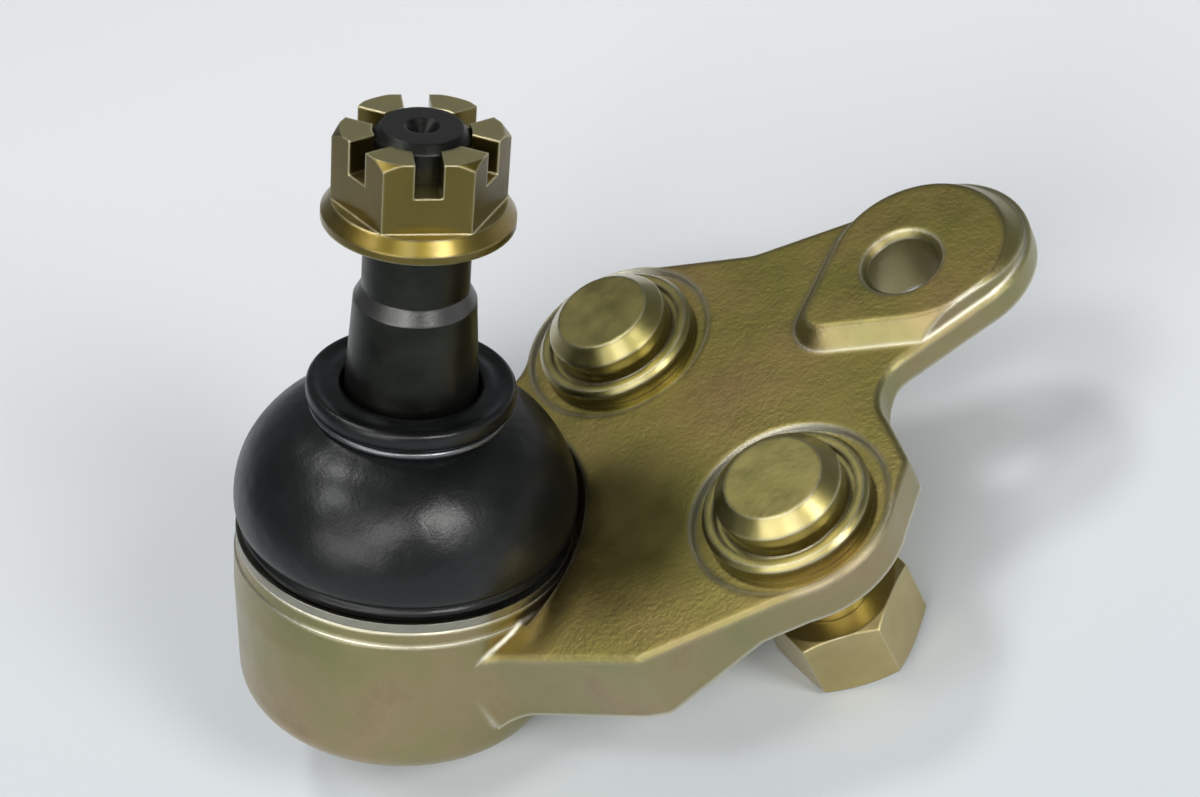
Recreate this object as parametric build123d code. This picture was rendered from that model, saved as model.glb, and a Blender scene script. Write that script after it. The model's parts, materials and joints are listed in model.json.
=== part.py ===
from build123d import *
import math
import os

# Suspension ball joint: a forged housing and mounting plate, a ball stud in two seats,
# a dust boot, two press-in mounting studs with nuts, and a castle nut on the stud's end.
# Lengths are in millimetres and angles in degrees.
# The joint frame has its origin at the ball centre, Z up the housing axis and X towards the ear.
# The plate frame lies on the plate's top face: X climbs its slope and Y is the joint's own Y.
# At the end the whole part is leant over, so that it rests on the housing and the two nuts.

# Fits and cuts
locating_gap = 0.05
running_gap = 0.08
ball_gap = 0.15
seating_gap = 0.2
overrun = 1.0

# Housing
housing_wall = 5.1
housing_depth = 20.6
housing_round = 5.5
housing_draft = 1.2
housing_floor = 2.5
rim_band_step = 0.25
rim_band_width = 2.6
rim_height = 8.6
swage_lip = 0.8
swage_overhang = 0.7

# Ball stud
ball_diameter = 28.0
ball_flat_diameter = 9.0
neck_diameter = 15.0
neck_top = 26.5
land_bottom = 32.0
land_length = 4.5
taper_large_diameter = 20.0
taper_ratio = 8.0
taper_length = 14.0
shoulder_length = 2.2
relief_diameter = 15.9
relief_length = 11.0
stud_thread_diameter = 14.0
stud_end_stand_off = 0.6
stud_end_chamfer = 1.2
centre_drill_diameter = 5.0
cotter_hole_diameter = 3.2

# Bearing seats, spring and closing ring
seat_wall = 4.4
seat_corner = 4.0
seat_split = 0.5
spring_height = 1.2
spring_sheet = 0.6
spring_outer_diameter = 24.0
spring_inner_diameter = 10.0
ball_retention = 0.3
closing_ring_width = 2.6
closing_ring_thickness = 2.0

# Boot and its rings
boot_wall = 2.2
boot_base_gap = 0.4
boot_bead_height = 2.4
boot_bead_width = 3.6
boot_top = 36.4
boot_lip_width = 5.8
boot_lip_thickness = 3.2
boot_groove_depth = 1.9
boot_groove_width = 1.8
boot_widest_height = 17.0
boot_bulge = 1.1
boot_dome_start = 20.0
boot_dome_steps = 7
boot_lip_gap = 0.3
base_ring_sheet = 0.8
base_ring_height = 1.5
base_ring_lap = 0.5
neck_ring_wire = 1.2

# Castle nut
castle_across_flats = 22.0
castle_flange_width = 3.1
castle_flange_rim = 1.2
castle_flange_cone = 2.0
castle_height = 14.0
castle_slot_depth = 5.2
castle_slot_width = 4.0
castle_top_chamfer = 1.1
castle_top_chamfer_drop = 1.1
castle_turn = 9.3
castle_slots = 6

# Mounting plate, in the plate frame
plate_slope = 30.0
plate_rise = 1.9
plate_thickness = 7.0
arm_thickness = 15.2
arm_length = 15.0
arm_ramp = 19.0
plate_edge_round = 0.9
stud_distance = 49.4
stud_spacing = 50.6
stud_line_offset = 14.4
boss_radius = 16.3
boss_tangent_angle = 60.0
arm_elbow_distance = 17.6
arm_elbow_side = 45.4
arm_root_gap = 0.1
arm_tail = 4.0
valley_distance = 27.0
valley_side = 19.0
near_waist_distance = 69.8
near_waist_width = 15.5
far_waist_distance = 75.4
far_waist_width = 22.4
near_shoulder_distance = 69.6
near_shoulder_width = 23.4
near_bulge_distance = 67.2
near_bulge_width = 32.2
inner_corner_radius = 8.0
outer_corner_radius = 3.0
boot_pocket_gap = 1.2

# Ear and its raised pad
ear_distance = 89.2
ear_offset = 2.3
ear_shift = 6.0
ear_radius = 14.9
ear_thickness = 4.8
ear_hole_diameter = 11.6
ear_hole_chamfer = 0.9
ear_boss_height = 4.4
ear_boss_wall = 3.6
ear_boss_draft = 0.8
pad_height = 3.0
pad_margin = 0.95
pad_shift = 3.2
pad_tip_distance = 14.0
pad_tip_radius = 3.4
pad_tip_shift = 1.8
pad_draft = 2.6
pad_edge_round = 0.8

# Mounting studs and their nuts
spotface_margin = 1.0
spotface_depth = 1.0
head_flange_gap = 2.3
head_flange_thickness = 3.3
head_flange_chamfer = 0.7
head_groove_width = 1.2
head_groove_depth = 1.2
button_shelf = 3.2
button_height = 7.4
button_chamfer_width = 2.3
button_chamfer_drop = 2.1
stud_shank_diameter = 14.6
stud_bolt_diameter = 13.8
stud_length = 32.4
stud_tip_chamfer = 1.2
nut_across_flats = 21.0
nut_height = 12.9
nut_drop = 20.0
nut_corner_chamfer_angle = 30.0
nut_turn = 3.0
hex_sides = 6

# Heights and radii that follow, in the joint frame
ball_radius = ball_diameter / 2
seat_sphere_radius = ball_radius + ball_gap
seat_radius = seat_sphere_radius + seat_wall
bore_radius = seat_radius + running_gap
bore_floor = housing_floor - housing_depth
spring_top = bore_floor + spring_height
lower_seat_bottom = spring_top + seating_gap / 2
ring_top = rim_height - swage_lip
ring_seat = ring_top - closing_ring_thickness
ring_outer_radius = bore_radius + closing_ring_width
mouth_radius = ball_radius - ball_retention
housing_radius = ring_outer_radius + housing_wall
rim_band_radius = housing_radius - rim_band_step
boot_floor = rim_height + base_ring_sheet
boot_base_radius = rim_band_radius - base_ring_sheet / 2 - boot_base_gap
boot_widest_radius = boot_base_radius + boot_bulge
boot_lip_radius = taper_large_diameter / 2 + boot_lip_width
boot_groove_radius = boot_lip_radius - boot_groove_depth
taper_small_radius = taper_large_diameter / 2 - taper_length / taper_ratio / 2
taper_bottom = land_bottom + land_length
taper_top = taper_bottom + taper_length
shoulder_top = taper_top + shoulder_length
relief_top = shoulder_top + relief_length
stud_top = relief_top + castle_height + stud_end_stand_off
slot_floor = relief_top + castle_height - castle_slot_depth
hex_corner_share = 2 / math.sqrt(3)
castle_flange_radius = castle_across_flats / 2 + castle_flange_width
pad_radius = ear_radius - pad_margin
ear_underside = -ear_thickness - ear_boss_height
spotface_radius = boss_radius - spotface_margin
head_flange_radius = spotface_radius - head_flange_gap
button_radius = head_flange_radius - button_shelf


# Plane of the plate's top face, seen from the joint frame
plate_plane = Plane(
    origin=(0, 0, plate_rise),
    x_dir=(math.cos(math.radians(plate_slope)), 0, math.sin(math.radians(plate_slope))),
    z_dir=(-math.sin(math.radians(plate_slope)), 0, math.cos(math.radians(plate_slope))),
)

# Places on the plate, as X and Y in the plate frame
front_stud_place = (stud_distance, -stud_line_offset - stud_spacing / 2)
rear_stud_place = (stud_distance, -stud_line_offset + stud_spacing / 2)
ear_place = (ear_distance, -stud_line_offset - ear_offset)


def turned(points):
    """A solid of revolution about Z from a closed list of (radius, height) points."""
    outline = make_face(Polyline(*[(x, 0, z) for x, z in points], close=True))
    return revolve(outline, Axis.Z)


def circle_at(place, radius):
    """A disc on the plate, about a place in the plate frame."""
    return Pos(place[0], place[1]) * Circle(radius)


def drilled(place, radius, top, bottom):
    """A round cutter along the plate's normal between two heights in the plate frame."""
    return Pos(place[0], place[1], bottom) * Cylinder(
        radius, top - bottom, align=(Align.CENTER, Align.CENTER, Align.MIN)
    )


def plate_outline():
    """The plate's outline: two stud bosses, a waist and an ear, with the arm to the housing."""
    near_y = front_stud_place[1]
    far_y = rear_stud_place[1]
    ear_x = ear_distance + ear_shift
    ear_y = ear_place[1]
    root = housing_radius - arm_root_gap
    bow = housing_radius / math.cos(math.radians(plate_slope)) ** 2
    tangent_x = boss_radius * math.cos(math.radians(boss_tangent_angle))
    tangent_y = boss_radius * math.sin(math.radians(boss_tangent_angle))
    web = make_face(
        Polyline(
            (0, -root),
            (arm_elbow_distance, -arm_elbow_side),
            (stud_distance - tangent_x, near_y - tangent_y),
            (stud_distance + tangent_x, near_y - tangent_y),
            (near_bulge_distance, -stud_line_offset - near_bulge_width),
            (near_shoulder_distance, -stud_line_offset - near_shoulder_width),
            (near_waist_distance, -stud_line_offset - near_waist_width),
            (ear_x, ear_y - ear_radius),
            (ear_x, ear_y + ear_radius),
            (far_waist_distance, -stud_line_offset + far_waist_width),
            (stud_distance + tangent_x, far_y + tangent_y),
            (stud_distance, far_y),
            (valley_distance, valley_side),
            (0, root),
            close=True,
        )
    )
    outline = web + circle_at(front_stud_place, boss_radius) + circle_at(rear_stud_place, boss_radius)
    outline += Pos(ear_x, ear_y) * Circle(ear_radius)
    outline += (Pos(0, bow - root) * Circle(bow)) & (Pos(0, root - bow) * Circle(bow))
    outline = offset(outline, inner_corner_radius, kind=Kind.ARC)
    outline = offset(outline, -inner_corner_radius - outer_corner_radius, kind=Kind.ARC)
    return offset(outline, outer_corner_radius, kind=Kind.ARC)


def ear_pad():
    """The raised pad round the ear's hole: a drafted teardrop that points at the housing."""
    axis = Vector(-pad_tip_distance - pad_shift, pad_tip_shift)
    spread = math.degrees(math.acos((pad_radius - pad_tip_radius) / axis.length))
    corners = []
    for radius, middle, turn in (
        (pad_radius, (0, 0), spread),
        (pad_tip_radius, (axis.X, axis.Y), spread),
        (pad_tip_radius, (axis.X, axis.Y), -spread),
        (pad_radius, (0, 0), -spread),
    ):
        side = axis.normalized().rotate(Axis.Z, turn) * radius
        corners.append((middle[0] + side.X, middle[1] + side.Y))
    top_face = make_face(Polyline(*corners, close=True))
    top_face += Circle(pad_radius)
    top_face += Pos(axis.X, axis.Y) * Circle(pad_tip_radius)
    foot_face = offset(top_face, pad_draft, kind=Kind.ARC)
    pad = loft([foot_face, Pos(0, 0, pad_height) * top_face])
    pad = fillet(pad.faces().sort_by(Axis.Z)[-1].edges(), pad_edge_round)
    return Pos(ear_place[0] + pad_shift, ear_place[1]) * pad


def ear_boss():
    """The round boss under the ear, which lengthens its hole."""
    foot = ear_hole_diameter / 2 + ear_boss_wall
    boss = turned(
        [
            (0, ear_underside),
            (foot - ear_boss_draft, ear_underside),
            (foot, -ear_thickness),
            (foot, 0),
            (0, 0),
        ]
    )
    return Pos(ear_place[0], ear_place[1]) * boss


def plate_body():
    """The forged plate in its own frame: thick at the arm, thinner at the studs and the ear."""
    reach = ear_distance + 2 * pad_radius
    underside = make_face(
        Polyline(
            (-reach, 0, 0),
            (reach, 0, 0),
            (reach, 0, -ear_thickness),
            (ear_distance - pad_radius, 0, -ear_thickness),
            (far_waist_distance - pad_radius / 2, 0, -plate_thickness),
            (arm_length + arm_ramp, 0, -plate_thickness),
            (arm_length, 0, -arm_thickness),
            (-reach, 0, -arm_thickness),
            close=True,
        )
    )
    slab = extrude(underside, 2 * arm_elbow_side, both=True)
    return slab & extrude(plate_outline(), -arm_thickness)


def housing_forging():
    """Housing cup, arm, plate and ear: one forging with its machined bore, faces and holes."""
    foot = housing_radius - housing_draft
    cup = turned(
        [
            (0, -housing_depth),
            (foot, -housing_depth),
            (housing_radius, 0),
            (housing_radius, rim_height),
            (0, rim_height),
        ]
    )
    cup = fillet(cup.edges().sort_by(Axis.Z)[:1], housing_round)
    plate = plate_body()
    top_edges = plate.faces().sort_by(Axis.Z)[-1].edges()
    plate = fillet(top_edges, plate_edge_round)
    reach = 2 * ear_distance
    plate &= Pos(-arm_tail, 0) * Box(reach, reach, reach, align=(Align.MIN, Align.CENTER, Align.CENTER))
    pad = ear_pad() & extrude(offset(plate_outline(), -plate_edge_round), pad_height)
    plate += pad + ear_boss()
    body = cup + plate_plane * plate

    pocket_radius = housing_radius + boot_pocket_gap
    pocket = Pos(0, 0, rim_height - rim_band_width) * (
        Cylinder(pocket_radius, 2 * pocket_radius, align=(Align.CENTER, Align.CENTER, Align.MIN))
        - Cylinder(rim_band_radius, rim_band_width, align=(Align.CENTER, Align.CENTER, Align.MIN))
    )
    body -= pocket

    bore = turned(
        [
            (0, bore_floor),
            (bore_radius - seat_corner, bore_floor),
            (bore_radius, bore_floor + seat_corner),
            (bore_radius, ring_seat),
            (ring_outer_radius, ring_seat),
            (ring_outer_radius, ring_top),
            (ring_outer_radius - swage_overhang, ring_top),
            (ring_outer_radius - swage_overhang, rim_height + overrun),
            (0, rim_height + overrun),
        ]
    )
    body -= bore

    for place in (front_stud_place, rear_stud_place):
        body -= plate_plane * drilled(place, spotface_radius, button_height, -spotface_depth)
        hole_radius = stud_shank_diameter / 2 + locating_gap
        body -= plate_plane * drilled(place, hole_radius, overrun, -arm_thickness)

    hole_radius = ear_hole_diameter / 2
    ear_cut = drilled((0, 0), hole_radius, pad_height + overrun, ear_underside - overrun)
    mouth = turned(
        [
            (0, pad_height - ear_hole_chamfer),
            (hole_radius, pad_height - ear_hole_chamfer),
            (hole_radius + ear_hole_chamfer + overrun, pad_height + overrun),
            (0, pad_height + overrun),
        ]
    )
    body -= plate_plane * (Pos(ear_place[0], ear_place[1]) * (ear_cut + mouth))
    return body


def ball_stud():
    """Ball, neck, seal land, taper, relief and threaded end turned from one bar."""
    neck_radius = neck_diameter / 2
    thread_radius = stud_thread_diameter / 2
    large = taper_large_diameter / 2
    shaft = turned(
        [
            (0, 0),
            (neck_radius, 0),
            (neck_radius, neck_top),
            (large, land_bottom),
            (large, taper_bottom),
            (taper_small_radius, taper_top),
            (relief_diameter / 2, shoulder_top),
            (relief_diameter / 2, relief_top),
            (thread_radius, relief_top),
            (thread_radius, stud_top - stud_end_chamfer),
            (thread_radius - stud_end_chamfer, stud_top),
            (centre_drill_diameter / 2, stud_top),
            (0, stud_top - centre_drill_diameter / 2),
        ]
    )
    ball = Sphere(ball_radius)
    flat_depth = math.sqrt(ball_radius**2 - (ball_flat_diameter / 2) ** 2)
    ball -= Pos(0, 0, -flat_depth) * Box(
        ball_diameter, ball_diameter, ball_diameter, align=(Align.CENTER, Align.CENTER, Align.MAX)
    )
    cotter_height = slot_floor + cotter_hole_diameter / 2 + seating_gap
    cotter = Pos(0, 0, cotter_height) * Rot(0, 0, castle_turn) * Rot(0, 90, 0) * Cylinder(
        cotter_hole_diameter / 2, stud_thread_diameter + overrun
    )
    return shaft + ball - cotter


def lower_bearing_seat():
    """The cup under the ball."""
    cup = turned(
        [
            (0, lower_seat_bottom),
            (seat_radius - seat_corner, lower_seat_bottom),
            (seat_radius, lower_seat_bottom + seat_corner),
            (seat_radius, -seat_split / 2),
            (0, -seat_split / 2),
        ]
    )
    return cup - Sphere(seat_sphere_radius)


def upper_bearing_seat():
    """The collar over the ball, which keeps it in."""
    top = ring_seat
    bottom = seat_split / 2
    collar = turned([(0, bottom), (seat_radius, bottom), (seat_radius, top), (mouth_radius, top), (0, 0)])
    return collar - Sphere(seat_sphere_radius)


def preload_spring():
    """A coned disc spring under the lower seat."""
    outer = spring_outer_diameter / 2
    inner = spring_inner_diameter / 2
    return turned(
        [
            (outer, bore_floor),
            (outer, bore_floor + spring_sheet),
            (inner, spring_top),
            (inner, spring_top - spring_sheet),
        ]
    )


def closing_ring():
    """The steel ring that the housing's rim is swaged over."""
    outer = ring_outer_radius - locating_gap
    flare = closing_ring_thickness / 2
    return turned(
        [
            (mouth_radius, ring_seat),
            (outer, ring_seat),
            (outer, ring_top),
            (mouth_radius + flare, ring_top),
            (mouth_radius, ring_seat + flare),
        ]
    )


def boot_base_ring():
    """The pressed ring on the rim that holds the boot's bead."""
    outer = rim_band_radius
    inner = boot_base_radius - boot_bead_width - base_ring_lap
    return turned(
        [
            (inner, rim_height),
            (outer, rim_height),
            (outer, rim_height + base_ring_height),
            (outer - base_ring_sheet / 2, rim_height + base_ring_height),
            (outer - base_ring_sheet / 2, boot_floor),
            (inner, boot_floor),
        ]
    )


def boot_curve(side):
    """The boot's dome as (radius, height) points; side moves it in by a wall's thickness."""
    lip_bottom = boot_top - boot_lip_thickness
    groove_bottom = lip_bottom - boot_groove_width
    spread = boot_widest_radius - boot_groove_radius
    rise = groove_bottom - boot_widest_height
    start = math.radians(boot_dome_start)
    points = []
    for step in range(boot_dome_steps + 1):
        angle = start + (math.pi / 2 - start) * step / boot_dome_steps
        fullness = (math.sin(angle) - math.sin(start)) / (1 - math.sin(start))
        radius = boot_groove_radius + spread * fullness - side * math.sin(angle)
        height = boot_widest_height + rise * math.cos(angle) / math.cos(start) - side * math.cos(angle)
        points.append((radius, height))
    return points


def dust_boot():
    """The rubber boot: a bead in the base ring, a full dome and a thick lip on the stud."""
    lip_bottom = boot_top - boot_lip_thickness
    bead_inner = boot_base_radius - boot_bead_width
    bead_top = boot_floor + boot_bead_height
    hole = taper_large_diameter / 2 + boot_lip_gap
    outside = (
        [
            (hole, boot_top),
            (boot_lip_radius, boot_top),
            (boot_lip_radius, lip_bottom),
            (boot_groove_radius, lip_bottom),
        ]
        + boot_curve(0)
        + [(boot_base_radius, bead_top), (boot_base_radius, boot_floor)]
    )
    inside = [(bead_inner, boot_floor), (bead_inner, bead_top)]
    inside += boot_curve(boot_wall)[::-1]
    inside += [(hole, land_bottom)]
    return turned(outside + inside)


def boot_neck_ring():
    """The wire ring in the groove under the boot's lip."""
    wire = neck_ring_wire / 2
    height = boot_top - boot_lip_thickness - boot_groove_width / 2
    return Pos(0, 0, height) * Torus(boot_groove_radius + wire + seating_gap, wire)


def hex_prism(across_flats, height):
    """A hexagonal bar standing on its end, with a flat facing X."""
    outline = RegularPolygon(across_flats / 2, hex_sides, major_radius=False, rotation=180 / hex_sides)
    return extrude(outline, height)


def castle_nut():
    """The flanged castle nut that locks the stud's taper."""
    flats = castle_across_flats / 2
    corner = flats * hex_corner_share
    cone_top = castle_flange_rim + castle_flange_cone
    nut = hex_prism(castle_across_flats, castle_height)
    envelope = turned(
        [
            (0, 0),
            (corner, 0),
            (corner, castle_height - castle_top_chamfer_drop),
            (corner - castle_top_chamfer, castle_height),
            (0, castle_height),
        ]
    )
    nut = nut & envelope
    nut += turned(
        [
            (0, 0),
            (castle_flange_radius, 0),
            (castle_flange_radius, castle_flange_rim),
            (corner, cone_top),
            (0, cone_top),
        ]
    )
    for index in range(castle_slots // 2):
        nut -= Rot(0, 0, index * 360 / castle_slots) * Pos(0, 0, castle_height - castle_slot_depth) * Box(
            2 * castle_flange_radius,
            castle_slot_width,
            castle_height,
            align=(Align.CENTER, Align.CENTER, Align.MIN),
        )
    bore = stud_thread_diameter / 2 + locating_gap
    nut -= Cylinder(bore, 3 * castle_height)
    return Pos(0, 0, relief_top) * Rot(0, 0, castle_turn) * nut


def mounting_stud(place):
    """A press-in stud: button head, flange in the spotface, shank in the plate and a thread."""
    seat = -spotface_depth
    flange_top = seat + head_flange_thickness
    groove = button_radius + head_groove_width
    shank = stud_shank_diameter / 2
    bolt = stud_bolt_diameter / 2
    tip = -stud_length
    stud = turned(
        [
            (0, tip),
            (bolt - stud_tip_chamfer, tip),
            (bolt, tip + stud_tip_chamfer),
            (bolt, -plate_thickness),
            (shank, -plate_thickness),
            (shank, seat),
            (head_flange_radius, seat),
            (head_flange_radius, flange_top - head_flange_chamfer),
            (head_flange_radius - head_flange_chamfer, flange_top),
            (groove, flange_top),
            (groove, flange_top - head_groove_depth),
            (button_radius, flange_top - head_groove_depth),
            (button_radius, button_height - button_chamfer_drop),
            (button_radius - button_chamfer_width, button_height),
            (0, button_height),
        ]
    )
    return plate_plane * (Pos(place[0], place[1]) * stud)


def stud_nut(place):
    """A plain hexagon nut run part of the way up a mounting stud."""
    flats = nut_across_flats / 2
    corner = flats * hex_corner_share
    drop = (corner - flats) * math.tan(math.radians(nut_corner_chamfer_angle))
    envelope = turned(
        [
            (0, 0),
            (flats, 0),
            (corner, drop),
            (corner, nut_height - drop),
            (flats, nut_height),
            (0, nut_height),
        ]
    )
    nut = hex_prism(nut_across_flats, nut_height) & envelope
    nut -= Cylinder(stud_bolt_diameter / 2 + locating_gap, 3 * nut_height)
    nut = Pos(place[0], place[1], -nut_drop - nut_height) * Rot(0, 0, nut_turn) * nut
    return plate_plane * nut


def lean_angle():
    """How far the floor's plane climbs towards X when it touches the housing and both nuts."""
    slope = math.radians(plate_slope)
    nut_x = stud_distance - nut_across_flats / 2
    nut_z = -nut_drop - nut_height
    low_x = nut_x * math.cos(slope) - nut_z * math.sin(slope)
    low_z = plate_rise + nut_x * math.sin(slope) + nut_z * math.cos(slope)
    reach_x = low_x - (housing_radius - housing_draft - housing_round)
    reach_z = low_z - (housing_round - housing_depth)
    distance = math.hypot(reach_x, reach_z)
    return math.degrees(math.atan2(reach_z, reach_x) + math.asin(housing_round / distance))


def assembly():
    """All the pieces by name, still in the joint frame."""
    return {
        "housing_forging": housing_forging(),
        "ball_stud": ball_stud(),
        "lower_bearing_seat": lower_bearing_seat(),
        "upper_bearing_seat": upper_bearing_seat(),
        "preload_spring": preload_spring(),
        "closing_ring": closing_ring(),
        "boot_base_ring": boot_base_ring(),
        "dust_boot": dust_boot(),
        "boot_neck_ring": boot_neck_ring(),
        "castle_nut": castle_nut(),
        "front_mounting_stud": mounting_stud(front_stud_place),
        "rear_mounting_stud": mounting_stud(rear_stud_place),
        "front_stud_nut": stud_nut(front_stud_place),
        "rear_stud_nut": stud_nut(rear_stud_place),
    }


def resting(pieces):
    """The move that leans the part on to the floor and centres it over the origin."""
    lean = Rot(0, lean_angle(), 0)
    boxes = [(lean * piece).bounding_box() for piece in pieces.values()]
    middle_x = (min(box.min.X for box in boxes) + max(box.max.X for box in boxes)) / 2
    middle_y = (min(box.min.Y for box in boxes) + max(box.max.Y for box in boxes)) / 2
    floor_z = min(box.min.Z for box in boxes)
    return Pos(-middle_x, -middle_y, -floor_z) * lean


pieces = assembly()
placing = resting(pieces)
os.makedirs("parts", exist_ok=True)
for name, piece in pieces.items():
    export_step(placing * piece, f"parts/{name}.step")
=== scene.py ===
import bpy
import json
import math
from mathutils import Matrix, Vector


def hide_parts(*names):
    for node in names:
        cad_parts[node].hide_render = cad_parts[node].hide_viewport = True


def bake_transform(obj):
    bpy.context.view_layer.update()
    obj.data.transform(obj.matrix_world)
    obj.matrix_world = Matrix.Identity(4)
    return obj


# Suspension ball joint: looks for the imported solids, a moulded dust boot, a floor, lights and a camera.
# Lengths are in metres, angles in degrees and lamp powers in watts.
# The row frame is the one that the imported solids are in: Z is up from the floor and X points to the ear.
# The joint frame has its origin at the ball centre, Z up the housing axis and X towards the ear.

# Camera: its place and target in the joint frame, and its lens and sensor in millimetres
camera_place = (-0.14434, -0.28086, 0.2368)
camera_target = (0.03255, -0.0014, 0.02538)
camera_roll = 5.2387
camera_lens = 75.0
camera_sensor = 36.0

# Floor, which pales from its near colour to its far one along a direction in the row frame: the darker
# near colour is painted shade
floor_size = 6.0
floor_painted_shade_near = (0.625, 0.668, 0.695)
floor_far = (0.80, 0.803, 0.822)
floor_direction = (0.513, 0.858, 0.0)
floor_pale_start = -0.06
floor_pale_end = 0.16
floor_cloud_scale = 2.5
floor_cloud_share = 0.03

# Lamps: azimuth and elevation in the row frame, width, height, power and colour
lamps = {
    "left_softbox": (-148.0, 31.0, 1.30, 0.98, 14.5, (1.0, 0.995, 0.985)),
    "front_softbox": (-114.0, 47.0, 0.75, 0.60, 8.5, (1.0, 0.99, 0.98)),
    "right_softbox": (-68.0, 36.0, 0.52, 0.75, 19.0, (1.0, 0.99, 0.97)),
    "top_softbox": (92.0, 69.5, 0.34, 0.34, 8.5, (0.99, 0.995, 1.0)),
    "side_softbox": (177.0, 68.0, 0.55, 0.55, 7.5, (0.98, 0.99, 1.0)),
}
lamp_distance = 2.0
lamp_target = (0.0, 0.0, 0.04)

# World light, as colours at shares of the way up
world_shades = (
    (0.05, (0.225, 0.243, 0.254)),
    (0.65, (0.11, 0.114, 0.118)),
)

# The span that most of a noise lies in
noise_low = 0.3
noise_high = 0.7

# Edges: the rays that soften them, and the cosines of their lean at which their painted highlight, with a
# little wear, starts and is full
bevel_rays = 6
edge_start = 0.98
edge_full = 0.80

# Shares of a normal along the stud's axis, for the painted shade on flanks, the painted light on tops and
# ends, and the painted highlight on the shoulder's cone
flank_full = 0.10
flank_end = 0.45
top_start = 0.93
top_full = 0.98
cone_start = 0.25
cone_full = 0.35
cone_fade = 0.60
cone_end = 0.66

# Yellow zinc plate on the forging: film colours by the film's noise, darker on its tops as painted shade
# and lighter on its sides as painted light
forging_shaded_tops = (
    (0.34, (0.235, 0.205, 0.048)),
    (0.50, (0.275, 0.214, 0.062)),
    (0.66, (0.30, 0.212, 0.080)),
)
forging_lit_sides = (
    (0.34, (0.255, 0.240, 0.096)),
    (0.50, (0.310, 0.262, 0.120)),
    (0.66, (0.375, 0.270, 0.150)),
)
forging_stain = (0.17, 0.115, 0.040)
forging_highlight_and_wear_edge = (0.93, 0.90, 0.74)

# Yellow zinc plate on machined pieces: a tarnish stain, painted shade on flanks and painted light on tops
machined_stain = (0.28, 0.20, 0.075)
machined_shaded_flank = (0.07, 0.055, 0.012)
machined_lit_top = (0.70, 0.60, 0.27)

# Black phosphate on the ball stud, with painted highlights on its edges and its shoulder's cone, and
# painted light on its end
phosphate_film = (
    (0.30, (0.014, 0.015, 0.0125)),
    (0.70, (0.031, 0.033, 0.028)),
)
phosphate_highlight_and_wear_edge = (0.24, 0.24, 0.235)
phosphate_highlit_shoulder = (0.11, 0.11, 0.105)
phosphate_lit_end = (0.055, 0.056, 0.050)

# Boot rubber and seat resin
rubber_bloom = (
    (0.30, (0.0018, 0.0022, 0.0023)),
    (0.60, (0.0036, 0.0042, 0.0045)),
    (0.80, (0.0100, 0.0112, 0.0120)),
)
resin_cloud = (
    (0.3, (0.70, 0.67, 0.58)),
    (0.7, (0.80, 0.78, 0.70)),
)

# Dust boot, as radii and heights in the joint frame: over its lip, down its outside and up its inside
boot_segments = 192
boot_smoothing = 1
boot_profile = (
    (0.01030, 0.03200),
    (0.01030, 0.03520),
    (0.01065, 0.03610),
    (0.01180, 0.03630),
    (0.01300, 0.03580),
    (0.01390, 0.03590),
    (0.01490, 0.03640),
    (0.01555, 0.03610),
    (0.01582, 0.03530),
    (0.01582, 0.03400),
    (0.01555, 0.03330),
    (0.01460, 0.03300),
    (0.01398, 0.03250),
    (0.01395, 0.03180),
    (0.01460, 0.03120),
    (0.01620, 0.03060),
    (0.01790, 0.02985),
    (0.01975, 0.02865),
    (0.02160, 0.02705),
    (0.02315, 0.02520),
    (0.02445, 0.02320),
    (0.02545, 0.02110),
    (0.02610, 0.01890),
    (0.02638, 0.01680),
    (0.02640, 0.01490),
    (0.02625, 0.01360),
    (0.02575, 0.01280),
    (0.02510, 0.01245),
    (0.02492, 0.01210),
    (0.02515, 0.01175),
    (0.02545, 0.01145),
    (0.02550, 0.01110),
    (0.02525, 0.01075),
    (0.02490, 0.01050),
    (0.02486, 0.01010),
    (0.02486, 0.00950),
    (0.02170, 0.00950),
    (0.02155, 0.01000),
    (0.02180, 0.01140),
    (0.02290, 0.01260),
    (0.02380, 0.01420),
    (0.02400, 0.01640),
    (0.02375, 0.01860),
    (0.02290, 0.02140),
    (0.02155, 0.02390),
    (0.01990, 0.02580),
    (0.01790, 0.02740),
    (0.01560, 0.02850),
    (0.01300, 0.02940),
    (0.01090, 0.03040),
)

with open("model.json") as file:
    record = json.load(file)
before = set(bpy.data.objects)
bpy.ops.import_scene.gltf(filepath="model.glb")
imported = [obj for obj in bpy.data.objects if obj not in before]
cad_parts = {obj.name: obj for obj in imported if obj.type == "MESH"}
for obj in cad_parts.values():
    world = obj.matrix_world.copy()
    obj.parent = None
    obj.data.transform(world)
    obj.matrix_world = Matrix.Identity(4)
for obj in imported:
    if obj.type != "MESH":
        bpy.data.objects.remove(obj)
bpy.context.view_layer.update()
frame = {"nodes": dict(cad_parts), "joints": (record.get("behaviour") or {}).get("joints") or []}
joints = {joint["name"]: joint for joint in frame["joints"]}


def joint_frame():
    """The joint frame's place in the row frame, from the joints that the record states."""
    up = Vector(joints["tilt_direction"]["axis"]).normalized()
    across = Vector(joints["stud_tilt"]["axis"]).normalized()
    ahead = across.cross(up)
    place = Matrix((ahead, across, up)).transposed().to_4x4()
    place.translation = Vector(joints["tilt_direction"]["pos_m"])
    return place


to_row = joint_frame()


def connect(tree, source, target):
    """Links a node's output to an input."""
    tree.links.new(source, target)


def new_material(name, **values):
    """A new Principled material, with constants on the shader's own sockets."""
    made = bpy.data.materials.new(name)
    made.use_nodes = True
    shader = made.node_tree.nodes["Principled BSDF"]
    for socket, value in values.items():
        shader.inputs[socket.replace("_", " ")].default_value = value
    return made, made.node_tree, shader


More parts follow.
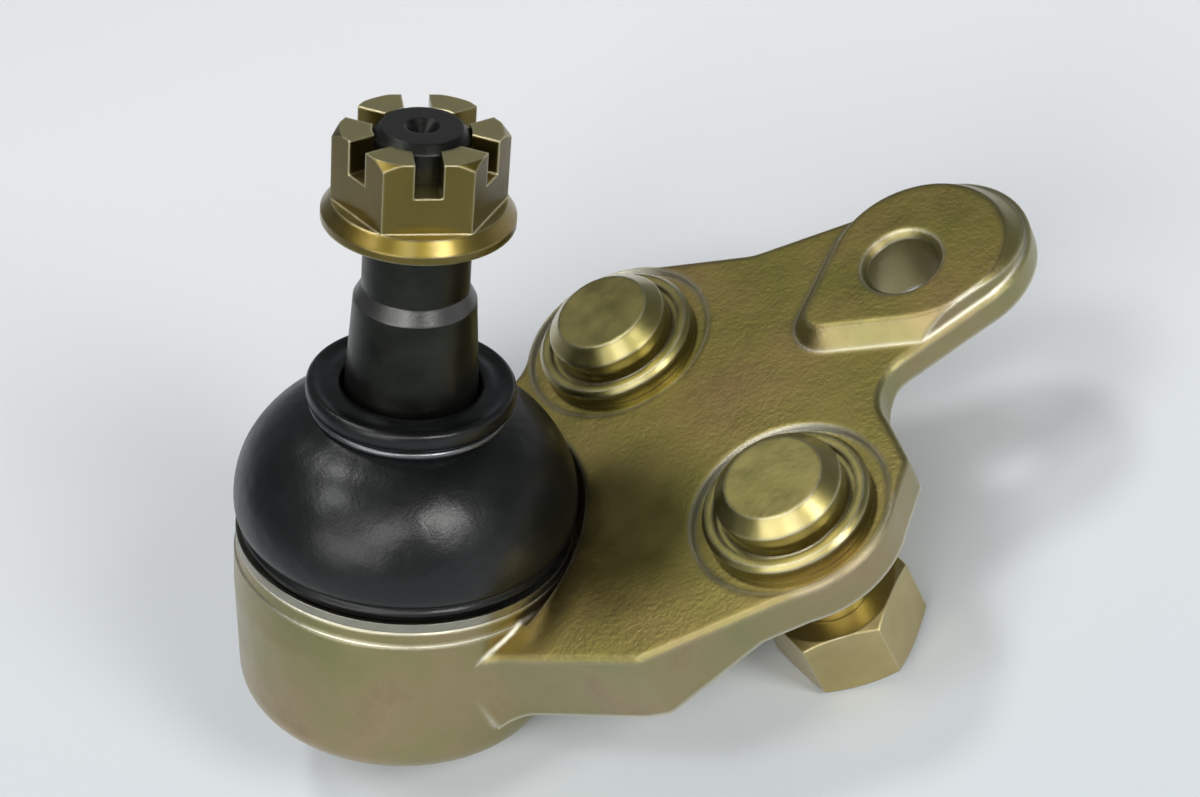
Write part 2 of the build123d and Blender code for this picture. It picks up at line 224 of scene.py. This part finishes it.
def noise(tree, scale, detail=4.0, roughness=0.55, stretch=(1.0, 1.0, 1.0)):
    """A noise texture on the object's own coordinates."""
    coordinates = tree.nodes.new("ShaderNodeTexCoord")
    mapping = tree.nodes.new("ShaderNodeMapping")
    mapping.inputs["Scale"].default_value = stretch
    texture = tree.nodes.new("ShaderNodeTexNoise")
    texture.inputs["Scale"].default_value = scale
    texture.inputs["Detail"].default_value = detail
    texture.inputs["Roughness"].default_value = roughness
    connect(tree, coordinates.outputs["Object"], mapping.inputs["Vector"])
    connect(tree, mapping.outputs["Vector"], texture.inputs["Vector"])
    return texture.outputs["Fac"]


def ramp(tree, source, stops):
    """A colour ramp over a factor, from (position, colour) stops."""
    made = tree.nodes.new("ShaderNodeValToRGB")
    elements = made.color_ramp.elements
    while len(elements) < len(stops):
        elements.new(0.5)
    for element, (position, colour) in zip(elements, stops):
        element.position = position
        element.color = (*colour, 1.0)
    connect(tree, source, made.inputs["Fac"])
    return made.outputs["Color"]


def span(tree, source, low, high, out_low, out_high):
    """A factor moved from one span to another, and clamped to it."""
    made = tree.nodes.new("ShaderNodeMapRange")
    made.inputs["From Min"].default_value = low
    made.inputs["From Max"].default_value = high
    made.inputs["To Min"].default_value = out_low
    made.inputs["To Max"].default_value = out_high
    connect(tree, source, made.inputs["Value"])
    return made.outputs["Result"]


def mix(tree, factor, first, second):
    """Two colours mixed by a factor; each colour may be a socket or a constant."""
    made = tree.nodes.new("ShaderNodeMix")
    made.data_type = "RGBA"
    factor_input, first_input, second_input = made.inputs[0], made.inputs[6], made.inputs[7]
    connect(tree, factor, factor_input)
    for socket, value in ((first_input, first), (second_input, second)):
        if isinstance(value, bpy.types.NodeSocket):
            connect(tree, value, socket)
        else:
            socket.default_value = (*value, 1.0)
    return made.outputs[2]


def product(tree, first, second):
    """Two factors multiplied."""
    made = tree.nodes.new("ShaderNodeMath")
    made.operation = "MULTIPLY"
    connect(tree, first, made.inputs[0])
    connect(tree, second, made.inputs[1])
    return made.outputs[0]


def dot(tree):
    """A dot product of two vectors, with its two inputs and its output."""
    made = tree.nodes.new("ShaderNodeVectorMath")
    made.operation = "DOT_PRODUCT"
    return made.inputs[0], made.inputs[1], made.outputs["Value"]


def bump(tree, height, strength, distance, normal=None):
    """A bump of a height factor, on top of another normal where one is given."""
    made = tree.nodes.new("ShaderNodeBump")
    made.inputs["Strength"].default_value = strength
    made.inputs["Distance"].default_value = distance
    connect(tree, height, made.inputs["Height"])
    if normal is not None:
        connect(tree, normal, made.inputs["Normal"])
    return made.outputs["Normal"]


def rounded(tree, radius):
    """A normal that softens the edges of a solid by a small radius."""
    made = tree.nodes.new("ShaderNodeBevel")
    made.samples = bevel_rays
    made.inputs["Radius"].default_value = radius
    return made.outputs["Normal"]


def edge_mask(tree, bevel_normal, share):
    """A mask that is 0 on a face and the given share on an edge."""
    geometry = tree.nodes.new("ShaderNodeNewGeometry")
    first, second, lean = dot(tree)
    connect(tree, geometry.outputs["Normal"], first)
    connect(tree, bevel_normal, second)
    return span(tree, lean, edge_start, edge_full, 0.0, share)


def upward(tree):
    """The true normal's upward share, for painted shade on tops and painted light on sides."""
    geometry = tree.nodes.new("ShaderNodeNewGeometry")
    split = tree.nodes.new("ShaderNodeSeparateXYZ")
    connect(tree, geometry.outputs["Normal"], split.inputs["Vector"])
    return split.outputs["Z"]


def along_axis(tree):
    """The share of an object's own normal along the stud's axis at rest: 0 on flanks, 1 on tops."""
    coordinates = tree.nodes.new("ShaderNodeTexCoord")
    first, second, share = dot(tree)
    connect(tree, coordinates.outputs["Normal"], first)
    second.default_value = to_row.col[2].to_3d()
    return share


def vary_roughness(tree, shader, source, low, high):
    """Roughness that follows a noise between two values."""
    rough = span(tree, source, noise_low, noise_high, low, high)
    connect(tree, rough, shader.inputs["Roughness"])


def plated_forging():
    """Yellow zinc plate on a shot-blasted forging: olive, gold and brown films over a fine grain, with
    painted shade on tops, painted light on sides and painted highlights on edges.
    """
    made, tree, shader = new_material("plated_forging", Metallic=1.0, Coat_Weight=0.5, Coat_Roughness=0.30)
    soft = rounded(tree, radius=0.0016)
    film = noise(tree, scale=38.0, roughness=0.6)
    # Painted shade and light: tops darker and sides lighter, by the true normal's upward share
    tops = ramp(tree, film, forging_shaded_tops)
    sides = ramp(tree, film, forging_lit_sides)
    top_shade_mask = span(tree, upward(tree), low=0.35, high=0.85, out_low=0.0, out_high=1.0)
    colour = mix(tree, top_shade_mask, sides, tops)
    blots = noise(tree, scale=75.0, detail=5.0, roughness=0.7)
    stains = span(tree, blots, low=0.54, high=0.74, out_low=0.0, out_high=0.40)
    colour = mix(tree, stains, colour, forging_stain)
    # Painted highlight on the rounded edges, with a little edge wear
    colour = mix(tree, edge_mask(tree, soft, share=0.95), colour, forging_highlight_and_wear_edge)
    connect(tree, colour, shader.inputs["Base Color"])
    vary_roughness(tree, shader, noise(tree, scale=160.0, detail=5.0), low=0.36, high=0.48)
    fine = noise(tree, scale=1300.0, detail=3.0, roughness=0.6)
    coarse = noise(tree, scale=140.0, detail=3.0)
    grain = bump(tree, fine, strength=0.30, distance=0.0002, normal=soft)
    waves = bump(tree, coarse, strength=0.12, distance=0.0008, normal=grain)
    connect(tree, waves, shader.inputs["Normal"])
    return made


def plated_machined(name, low, high, edge_highlight_and_wear, roughness, edge_radius, coat=0.4, flank_painted_shade=0.0):
    """Yellow zinc plate on a machined piece: smoother, with faint tool marks, tarnish and painted
    highlights on its edges, and where asked painted shade on flanks and painted light on tops.
    """
    made, tree, shader = new_material(name, Metallic=1.0, Coat_Weight=coat, Coat_Roughness=0.20)
    soft = rounded(tree, edge_radius)
    colour = ramp(tree, noise(tree, scale=70.0, detail=3.0), ((0.32, low), (0.68, high)))
    marks = noise(tree, scale=85.0, detail=3.0, roughness=0.5)
    tarnish = span(tree, marks, low=0.42, high=0.78, out_low=0.0, out_high=0.40)
    colour = mix(tree, tarnish, colour, machined_stain)
    # Painted shade: flanks darker, by their normal's share along the stud's axis
    if flank_painted_shade:
        lean = along_axis(tree)
        flanks = span(tree, lean, flank_full, flank_end, out_low=flank_painted_shade, out_high=0.0)
        colour = mix(tree, flanks, colour, machined_shaded_flank)
        # Painted light: tops lighter
        tops = span(tree, lean, top_start, top_full, out_low=0.0, out_high=0.9)
        colour = mix(tree, tops, colour, machined_lit_top)
    # Painted highlight on the rounded edges, with a little edge wear
    colour = mix(tree, edge_mask(tree, soft, share=0.7), colour, edge_highlight_and_wear)
    connect(tree, colour, shader.inputs["Base Color"])
    spread = 0.06
    vary_roughness(tree, shader, noise(tree, scale=220.0), roughness - spread, roughness + spread)
    fine = noise(tree, scale=900.0, detail=3.0, roughness=0.6)
    grain = bump(tree, fine, strength=0.15, distance=0.00012, normal=soft)
    connect(tree, grain, shader.inputs["Normal"])
    return made


def phosphate():
    """Oiled black phosphate on the turned stud, with a painted highlight on its shoulder's cone, painted
    light on its end and painted highlights on its edges.
    """
    made, tree, shader = new_material("phosphate", Metallic=0.85)
    soft = rounded(tree, radius=0.0005)
    colour = ramp(tree, noise(tree, scale=130.0), phosphate_film)
    # Painted highlight on the rounded edges, with a little edge wear
    colour = mix(tree, edge_mask(tree, soft, share=0.6), colour, phosphate_highlight_and_wear_edge)
    # Painted highlight: a lighter band on the shoulder's cone
    lean = along_axis(tree)
    rising = span(tree, lean, cone_start, cone_full, out_low=0.0, out_high=0.8)
    falling = span(tree, lean, cone_fade, cone_end, out_low=1.0, out_high=0.0)
    colour = mix(tree, product(tree, rising, falling), colour, phosphate_highlit_shoulder)
    # Painted light: a lighter end face
    lit_end_mask = span(tree, lean, top_start, top_full, out_low=0.0, out_high=1.0)
    colour = mix(tree, lit_end_mask, colour, phosphate_lit_end)
    connect(tree, colour, shader.inputs["Base Color"])
    vary_roughness(tree, shader, noise(tree, scale=300.0), low=0.285, high=0.38)
    fine = noise(tree, scale=1800.0, detail=3.0, roughness=0.6)
    grain = bump(tree, fine, strength=0.25, distance=0.00012, normal=soft)
    connect(tree, grain, shader.inputs["Normal"])
    return made


def boot_rubber():
    """Moulded black rubber with a faint bloom and an uneven, finely grained skin."""
    made, tree, shader = new_material("boot_rubber", Specular_IOR_Level=0.42)
    bloom = noise(tree, scale=60.0, detail=5.0, roughness=0.6)
    connect(tree, ramp(tree, bloom, rubber_bloom), shader.inputs["Base Color"])
    wear = noise(tree, scale=90.0, detail=5.0, roughness=0.6)
    vary_roughness(tree, shader, wear, low=0.29, high=0.40)
    fine = noise(tree, scale=1600.0, detail=3.0, roughness=0.6)
    lumps = bump(tree, noise(tree, scale=110.0, detail=2.0), strength=0.35, distance=0.0010)
    grain = bump(tree, fine, strength=0.30, distance=0.00012, normal=lumps)
    connect(tree, grain, shader.inputs["Normal"])
    return made


def bright_steel(name, colour, roughness, streak):
    """Bright pressed steel or blued spring steel, with fine drawing marks."""
    made, tree, shader = new_material(name, Metallic=1.0)
    marks = noise(tree, scale=150.0, roughness=0.5, stretch=(1.0, 1.0, streak))
    mark_shade = 0.85
    darker = tuple(mark_shade * part for part in colour)
    shade = ramp(tree, marks, ((noise_low, darker), (noise_high, colour)))
    connect(tree, shade, shader.inputs["Base Color"])
    smoother, rougher = roughness - 0.05, roughness + 0.07
    vary_roughness(tree, shader, noise(tree, scale=260.0), smoother, rougher)
    fine = noise(tree, scale=1200.0, detail=3.0, roughness=0.6)
    grain = bump(tree, fine, strength=0.2, distance=0.0001, normal=rounded(tree, radius=0.0002))
    connect(tree, grain, shader.inputs["Normal"])
    return made


def seat_resin():
    """Natural acetal, slightly cloudy."""
    scatter = (0.002, 0.002, 0.0015)
    made, tree, shader = new_material("seat_resin", Subsurface_Weight=0.1, Subsurface_Radius=scatter)
    cloud = ramp(tree, noise(tree, scale=60.0), resin_cloud)
    connect(tree, cloud, shader.inputs["Base Color"])
    vary_roughness(tree, shader, noise(tree, scale=200.0), low=0.35, high=0.48)
    grain = bump(tree, noise(tree, scale=700.0, detail=3.0), strength=0.15, distance=0.0001)
    connect(tree, grain, shader.inputs["Normal"])
    return made


def floor_paint():
    """A matt paint that pales along one direction of the floor, with painted shade on its near side, and
    has faint clouds.
    """
    made, tree, shader = new_material("floor_paint", Roughness=0.7, Specular_IOR_Level=0.2)
    coordinates = tree.nodes.new("ShaderNodeTexCoord")
    first, second, along = dot(tree)
    connect(tree, coordinates.outputs["Object"], first)
    second.default_value = floor_direction
    # Painted shade: the floor is darker towards the near side
    depth = span(tree, along, floor_pale_start, floor_pale_end, 0.0, 1.0)
    shade = mix(tree, depth, floor_painted_shade_near, floor_far)
    clouds = noise(tree, floor_cloud_scale, detail=2.0)
    share = span(tree, clouds, noise_low, noise_high, 0.0, floor_cloud_share)
    connect(tree, mix(tree, share, shade, floor_painted_shade_near), shader.inputs["Base Color"])
    return made


def paint(node, made):
    """Gives a CAD node its material."""
    slots = frame["nodes"][node].data.materials
    slots.clear()
    slots.append(made)


def turned_mesh(name, profile, segments, place):
    """A closed ring of quads from a closed profile of (radius, height) points."""
    points, faces = [], []
    rows = len(profile)
    for step in range(segments):
        angle = 2 * math.pi * step / segments
        for radius, height in profile:
            points.append(place @ Vector((radius * math.cos(angle), radius * math.sin(angle), height)))
    for step in range(segments):
        here = step * rows
        after = (step + 1) % segments * rows
        for row in range(rows):
            following = (row + 1) % rows
            faces.append((here + row, after + row, after + following, here + following))
    mesh = bpy.data.meshes.new(name)
    mesh.from_pydata(points, [], faces)
    mesh.update()
    mesh.shade_smooth()
    made = bpy.data.objects.new(name, mesh)
    bpy.context.scene.collection.objects.link(made)
    return made


def subdivide(piece, levels):
    """Smooths a piece's mesh, and keeps the result."""
    modifier = piece.modifiers.new("smooth", "SUBSURF")
    modifier.levels = levels
    modifier.render_levels = levels
    bpy.context.view_layer.objects.active = piece
    with bpy.context.temp_override(object=piece, active_object=piece):
        bpy.ops.object.modifier_apply(modifier=modifier.name)
    piece.data.shade_smooth()


def dust_boot(rubber):
    """The moulded boot between the base ring and the stud, turned from its profile in place of the CAD
    boot.
    """
    piece = turned_mesh("moulded_boot", boot_profile, boot_segments, to_row)
    subdivide(piece, boot_smoothing)
    piece.data.materials.append(rubber)
    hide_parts("dust_boot")
    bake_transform(piece)


def make_floor():
    """A plain square floor."""
    half = floor_size / 2
    corners = [(-half, -half, 0), (half, -half, 0), (half, half, 0), (-half, half, 0)]
    mesh = bpy.data.meshes.new("floor")
    mesh.from_pydata(corners, [], [(0, 1, 2, 3)])
    mesh.materials.append(floor_paint())
    floor = bpy.data.objects.new("floor", mesh)
    bpy.context.scene.collection.objects.link(floor)


def make_lamp(name, azimuth, elevation, width, height, power, colour):
    """A rectangular softbox that faces the part."""
    across = lamp_distance * math.cos(math.radians(elevation))
    place = Vector((
        across * math.cos(math.radians(azimuth)),
        across * math.sin(math.radians(azimuth)),
        lamp_distance * math.sin(math.radians(elevation)),
    ))
    data = bpy.data.lights.new(name, "AREA")
    data.shape = "RECTANGLE"
    data.size = width
    data.size_y = height
    data.energy = power
    data.color = colour
    lamp = bpy.data.objects.new(name, data)
    lamp.location = place
    lamp.rotation_mode = "QUATERNION"
    lamp.rotation_quaternion = (Vector(lamp_target) - place).to_track_quat("-Z", "Y")
    bpy.context.scene.collection.objects.link(lamp)


def make_world():
    """Even pale light from all round, dimmer overhead."""
    world = bpy.data.worlds.new("studio")
    world.use_nodes = True
    tree = world.node_tree
    coordinates = tree.nodes.new("ShaderNodeTexCoord")
    split = tree.nodes.new("ShaderNodeSeparateXYZ")
    connect(tree, coordinates.outputs["Generated"], split.inputs["Vector"])
    shade = ramp(tree, split.outputs["Z"], world_shades)
    connect(tree, shade, tree.nodes["Background"].inputs["Color"])
    bpy.context.scene.world = world


def make_camera():
    """The photograph's viewpoint."""
    data = bpy.data.cameras.new("camera")
    data.lens = camera_lens
    data.sensor_width = camera_sensor
    camera = bpy.data.objects.new("camera", data)
    bpy.context.scene.collection.objects.link(camera)
    place = Vector(camera_place)
    aim = (Vector(camera_target) - place).to_track_quat("-Z", "Y")
    turn = Matrix.Rotation(math.radians(camera_roll), 4, "Z")
    camera.matrix_world = to_row @ (Matrix.Translation(place) @ aim.to_matrix().to_4x4() @ turn)
    bpy.context.scene.camera = camera


forging = plated_forging()
# Each plated piece gets a painted highlight, with a little wear, on its edges
stud_zinc = plated_machined(
    "plated_studs",
    low=(0.33, 0.295, 0.090),
    high=(0.40, 0.345, 0.125),
    edge_highlight_and_wear=(0.95, 0.92, 0.80),
    roughness=0.345,
    edge_radius=0.0009,
    coat=0.8,
)
nut_zinc = plated_machined(
    "plated_nuts",
    low=(0.42, 0.35, 0.13),
    high=(0.55, 0.45, 0.21),
    edge_highlight_and_wear=(0.88, 0.80, 0.54),
    roughness=0.35,
    edge_radius=0.0005,
)
# The castle nut also gets painted shade on its flanks and painted light on its tops
castle_zinc = plated_machined(
    "plated_castle_nut",
    low=(0.150, 0.120, 0.015),
    high=(0.220, 0.155, 0.028),
    edge_highlight_and_wear=(0.90, 0.82, 0.54),
    roughness=0.345,
    edge_radius=0.0006,
    flank_painted_shade=0.4,
)
black = phosphate()
rubber = boot_rubber()
resin = seat_resin()
steel = bright_steel("pressed_steel", colour=(0.36, 0.345, 0.28), roughness=0.34, streak=8.0)
spring = bright_steel("spring_steel", colour=(0.20, 0.205, 0.215), roughness=0.34, streak=6.0)

node_materials = {
    "housing_forging": forging,
    "ball_stud": black,
    "lower_bearing_seat": resin,
    "upper_bearing_seat": resin,
    "preload_spring": spring,
    "closing_ring": steel,
    "boot_base_ring": steel,
    "dust_boot": rubber,
    "boot_neck_ring": spring,
    "castle_nut": castle_zinc,
    "front_mounting_stud": stud_zinc,
    "rear_mounting_stud": stud_zinc,
    "front_stud_nut": nut_zinc,
    "rear_stud_nut": nut_zinc,
}
for node, made in node_materials.items():
    paint(node, made)

dust_boot(rubber)
make_floor()
for name, settings in lamps.items():
    make_lamp(name, *settings)
make_world()
make_camera()
bpy.context.scene.view_settings.view_transform = "Standard"
